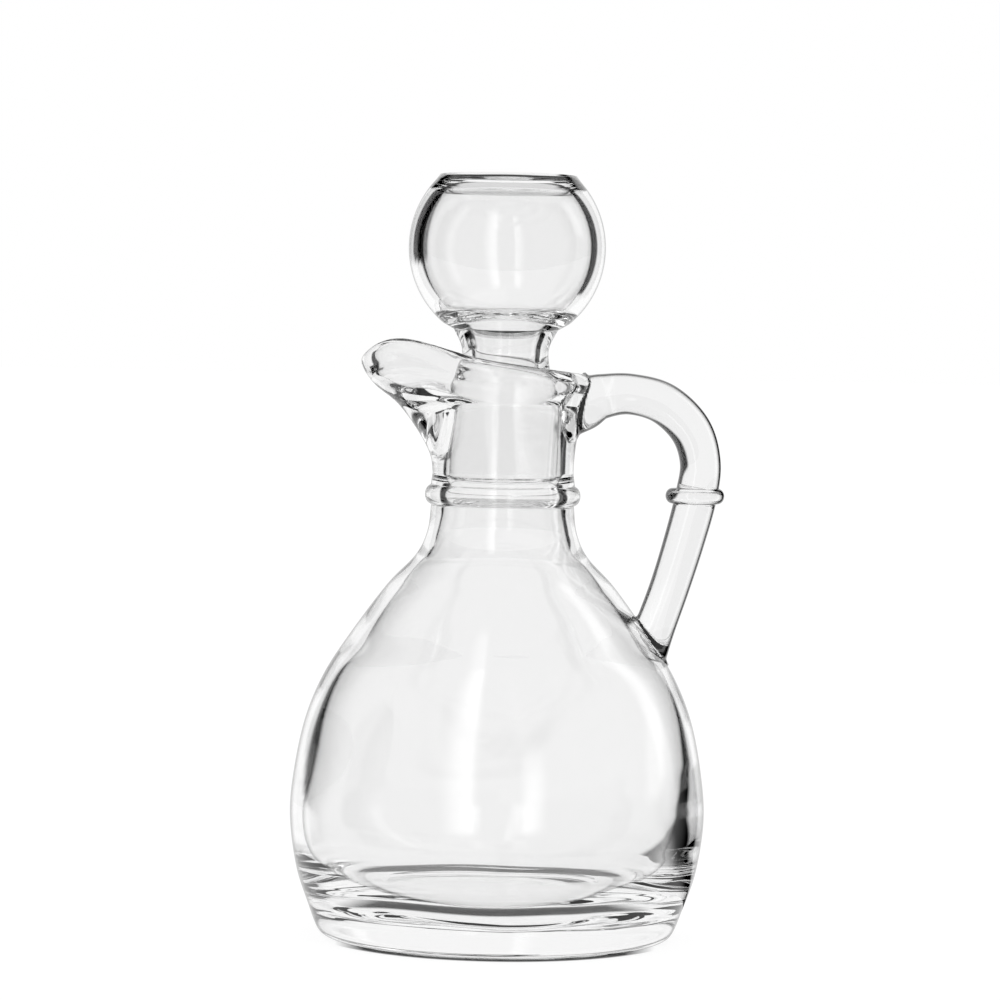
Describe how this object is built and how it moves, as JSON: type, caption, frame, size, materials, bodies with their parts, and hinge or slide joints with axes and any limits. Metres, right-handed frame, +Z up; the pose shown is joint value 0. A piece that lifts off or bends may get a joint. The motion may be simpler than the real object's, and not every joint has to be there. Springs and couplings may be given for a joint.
{
  "type": "glass cruet",
  "caption": "Clear glass cruet with a drawn-out pouring spout, a beaded neck, a looped side handle and a loose hollow ball stopper, for oil or vinegar.",
  "frame": {"origin": "on the surface it stands on, under the centre of the bounding box", "axes": "+Z up along the bottle's axis, the handle towards +X and the spout towards -X"},
  "size_m": [0.0816, 0.0788, 0.1445],
  "materials": {
    "clear_glass": "smooth, fire-polished, colourless"
  },
  "bodies": {
    "root": {"cruet": "clear_glass", "stopper": "clear_glass"}
  },
  "joints": []
}
